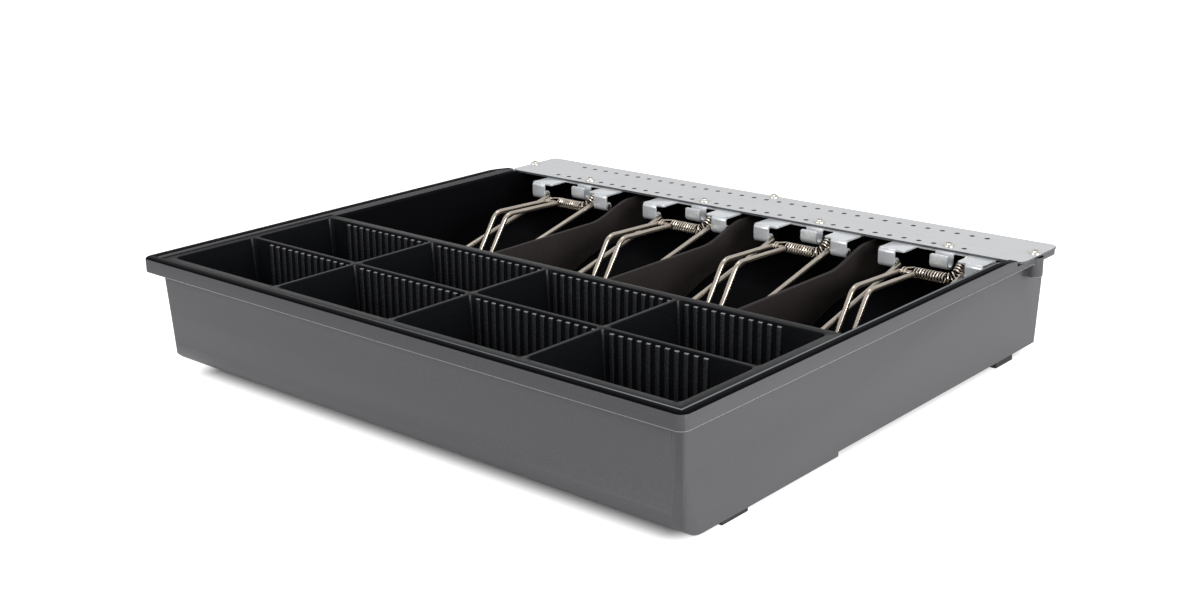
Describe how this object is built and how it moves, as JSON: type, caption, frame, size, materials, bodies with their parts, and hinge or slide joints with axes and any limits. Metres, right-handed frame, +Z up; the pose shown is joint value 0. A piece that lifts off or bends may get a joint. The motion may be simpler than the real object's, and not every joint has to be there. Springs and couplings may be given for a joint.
{
  "type": "cash drawer insert",
  "caption": "Moulded till insert with a lift-out cup tray in front, divided bays behind and a perforated bar with sprung wire hold-downs.",
  "frame": {"origin": "on the table under the middle of the part", "axes": "+X to the right along the width, +Y to the rear where the bar is, +Z up"},
  "size_m": [0.36, 0.318, 0.061],
  "materials": {
    "tray_plastic": "satin moulded",
    "cup_plastic": "satin moulded",
    "divider_plastic": "satin moulded",
    "foot_rubber": "matt",
    "bar_steel": "satin zinc",
    "clip_steel": "galvanised",
    "wire_steel": "nickel plated",
    "spring_steel": "bright drawn",
    "screw_steel": "zinc plated"
  },
  "bodies": {
    "tray": {"outer_tray": "tray_plastic", "feet": "foot_rubber", "bay_divider_1": "divider_plastic", "bay_divider_2": "divider_plastic", "bay_divider_3": "divider_plastic", "hold_down_bar": "bar_steel", "bar_end_screws": "screw_steel", "bar_rear_screw": "screw_steel", "clip_1": "clip_steel", "clip_2": "clip_steel", "clip_3": "clip_steel", "clip_4": "clip_steel", "clip_screws": "screw_steel", "spring_1": "spring_steel", "spring_2": "spring_steel", "spring_3": "spring_steel", "spring_4": "spring_steel"},
    "cups": {"cup_tray": "cup_plastic"},
    "arm_1": {"hold_down_1": "wire_steel"},
    "arm_2": {"hold_down_2": "wire_steel"},
    "arm_3": {"hold_down_3": "wire_steel"},
    "arm_4": {"hold_down_4": "wire_steel"}
  },
  "joints": [
    {"name": "hold_down_1_lift", "type": "hinge", "parent": "tray", "child": "arm_1", "pos_m": [-0.11578, 0.1056, 0.0489], "axis": [-1, 0, 0], "range_deg": [0, 72], "stiffness_Nm_per_rad": 0.08, "springref_deg": -57.3, "deforming": ["spring_1"]},
    {"name": "hold_down_2_lift", "type": "hinge", "parent": "tray", "child": "arm_2", "pos_m": [-0.02672, 0.1056, 0.0489], "axis": [-1, 0, 0], "range_deg": [0, 72], "stiffness_Nm_per_rad": 0.08, "springref_deg": -57.3, "deforming": ["spring_2"]},
    {"name": "hold_down_3_lift", "type": "hinge", "parent": "tray", "child": "arm_3", "pos_m": [0.05344, 0.1056, 0.0489], "axis": [-1, 0, 0], "range_deg": [0, 72], "stiffness_Nm_per_rad": 0.08, "springref_deg": -57.3, "deforming": ["spring_3"]},
    {"name": "hold_down_4_lift", "type": "hinge", "parent": "tray", "child": "arm_4", "pos_m": [0.13359, 0.1056, 0.0489], "axis": [-1, 0, 0], "range_deg": [0, 72], "stiffness_Nm_per_rad": 0.08, "springref_deg": -57.3, "deforming": ["spring_4"]},
    {"name": "cup_tray_lift", "type": "slide", "parent": "tray", "child": "cups", "axis": [0, 0, 1], "range_m": [0, 0.065]}
  ]
}
